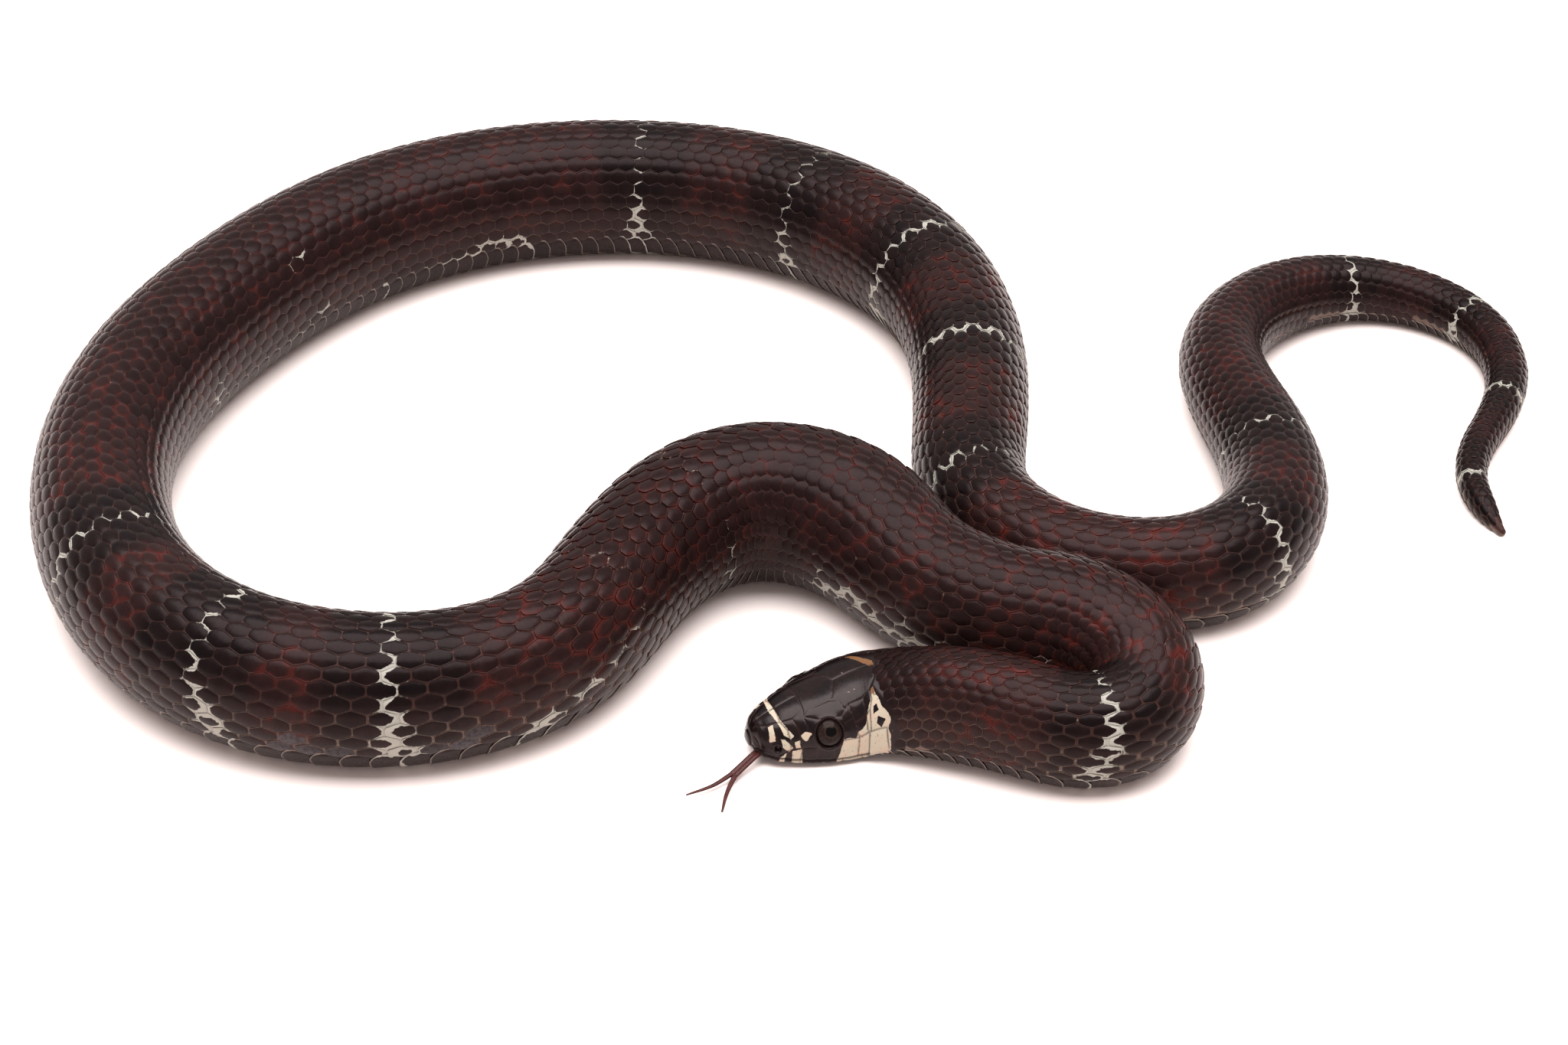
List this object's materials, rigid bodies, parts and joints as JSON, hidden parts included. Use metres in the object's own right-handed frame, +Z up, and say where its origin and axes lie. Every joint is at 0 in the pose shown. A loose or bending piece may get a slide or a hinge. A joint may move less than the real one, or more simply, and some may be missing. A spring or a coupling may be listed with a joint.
{
  "type": "milk snake",
  "caption": "Life-size still model of a dark-phase milk snake lying in a loose loop, neck curled back over itself, head low and forked tongue out.",
  "frame": {"origin": "on the floor (z = 0), under the middle of the snake's bounding box as seen from above", "axes": "+Z up; +X to the right and +Y away from the viewer in the picture's view, so the head and front bend face -Y"},
  "size_m": [0.2883, 0.2099, 0.0282],
  "materials": {
    "head_dark": "glossy near-black plates",
    "body_dark": "satin near-black brown scales",
    "tail_dark": "satin near-black brown scales",
    "eye_dark": "wet, glassy and dark",
    "tongue_red": "moist dark red"
  },
  "bodies": {
    "root": {"head": "head_dark", "eye_left": "eye_dark", "eye_right": "eye_dark", "tongue": "tongue_red", "neck": "body_dark", "torso_01": "body_dark", "torso_02": "body_dark", "torso_03": "body_dark", "torso_04": "body_dark", "torso_05": "body_dark", "torso_06": "body_dark", "torso_07": "body_dark", "torso_08": "body_dark", "torso_09": "body_dark", "torso_10": "body_dark", "torso_11": "body_dark", "torso_12": "body_dark", "torso_13": "body_dark", "torso_14": "body_dark", "torso_15": "body_dark", "torso_16": "body_dark", "torso_17": "body_dark", "tail_01": "tail_dark", "tail_02": "tail_dark", "tail_03": "tail_dark", "tail_04": "tail_dark"}
  },
  "joints": []
}
